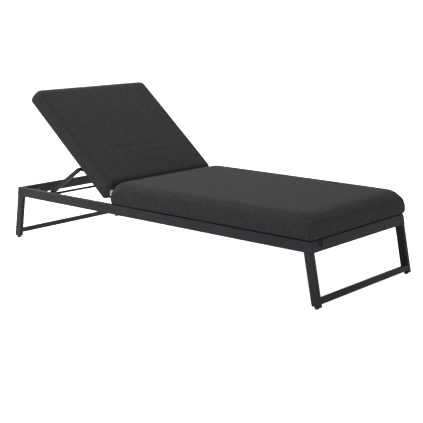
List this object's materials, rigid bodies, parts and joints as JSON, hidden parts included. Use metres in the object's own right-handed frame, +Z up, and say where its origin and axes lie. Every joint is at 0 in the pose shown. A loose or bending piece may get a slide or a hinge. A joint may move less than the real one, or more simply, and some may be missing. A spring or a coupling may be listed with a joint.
{
  "type": "sun lounger",
  "caption": "Reclining garden sun lounger: low charcoal aluminium frame on splayed legs, back section held by a U-shaped prop in notched racks, with thick grey seat and back cushions.",
  "frame": {"origin": "On the floor, under the centre of the lounger's bounding box.", "axes": "+Z up, +X towards the foot end, +Y towards the left side of a person lying on it face up."},
  "size_m": [2.105, 0.786, 0.8303],
  "materials": {
    "frame_paint": "matte charcoal powder coat with a fine texture, on aluminium tube",
    "dark_paint": "matte black powder coat",
    "steel": "plain stainless steel, satin",
    "nylon": "black nylon, matte moulded",
    "cushion_cloth": "charcoal heather outdoor cloth in a fine plain weave"
  },
  "bodies": {
    "base_frame": {"back_rest_block_left": "nylon", "back_rest_block_right": "nylon", "centre_rail": "frame_paint", "end_rail_foot": "frame_paint", "end_rail_head": "frame_paint", "glide_foot_left": "nylon", "glide_foot_right": "nylon", "glide_head_left": "nylon", "glide_head_right": "nylon", "leg_foot_left": "frame_paint", "leg_foot_right": "frame_paint", "leg_head_left": "frame_paint", "leg_head_right": "frame_paint", "pivot_bolt_left": "steel", "pivot_bolt_right": "steel", "pivot_bush_left": "nylon", "pivot_bush_right": "nylon", "rack_left": "dark_paint", "rack_right": "dark_paint", "seat_cushion": "cushion_cloth", "seat_slat_1": "frame_paint", "seat_slat_2": "frame_paint", "seat_slat_3": "frame_paint", "seat_slat_4": "frame_paint", "seat_slat_5": "frame_paint", "seat_slat_6": "frame_paint", "seat_slat_7": "frame_paint", "side_rail_left": "frame_paint", "side_rail_right": "frame_paint", "stretcher_foot": "frame_paint", "stretcher_head": "frame_paint"},
    "back": {"back_cushion": "cushion_cloth", "back_rail_lower": "frame_paint", "back_rail_upper": "frame_paint", "back_slat_1": "frame_paint", "back_slat_2": "frame_paint", "back_slat_3": "frame_paint", "back_slat_4": "frame_paint", "back_slat_5": "frame_paint", "back_slat_6": "frame_paint", "back_stile_left": "frame_paint", "back_stile_right": "frame_paint", "hinge_lug_left": "frame_paint", "hinge_lug_right": "frame_paint", "prop_bush_left": "nylon", "prop_bush_right": "nylon", "prop_ear_left": "frame_paint", "prop_ear_right": "frame_paint", "prop_nut_left": "steel", "prop_nut_right": "steel", "prop_pin_left": "steel", "prop_pin_right": "steel"},
    "prop": {"prop_arm_left": "frame_paint", "prop_arm_right": "frame_paint", "prop_rod": "dark_paint"}
  },
  "joints": [
    {"name": "back_recline", "type": "hinge", "parent": "base_frame", "child": "back", "pos_m": [-0.2912, 0, 0.2765], "axis": [0, 1, 0], "range_deg": [-40, 20]},
    {"name": "prop_swing", "type": "hinge", "parent": "back", "child": "prop", "pos_m": [-0.53264, 0, 0.43967], "axis": [0, 1, 0], "range_deg": [-40, 80]}
  ],
  "couplings": [
    {"joint": "prop_swing", "follows": "back_recline", "ratio": -2}
  ]
}
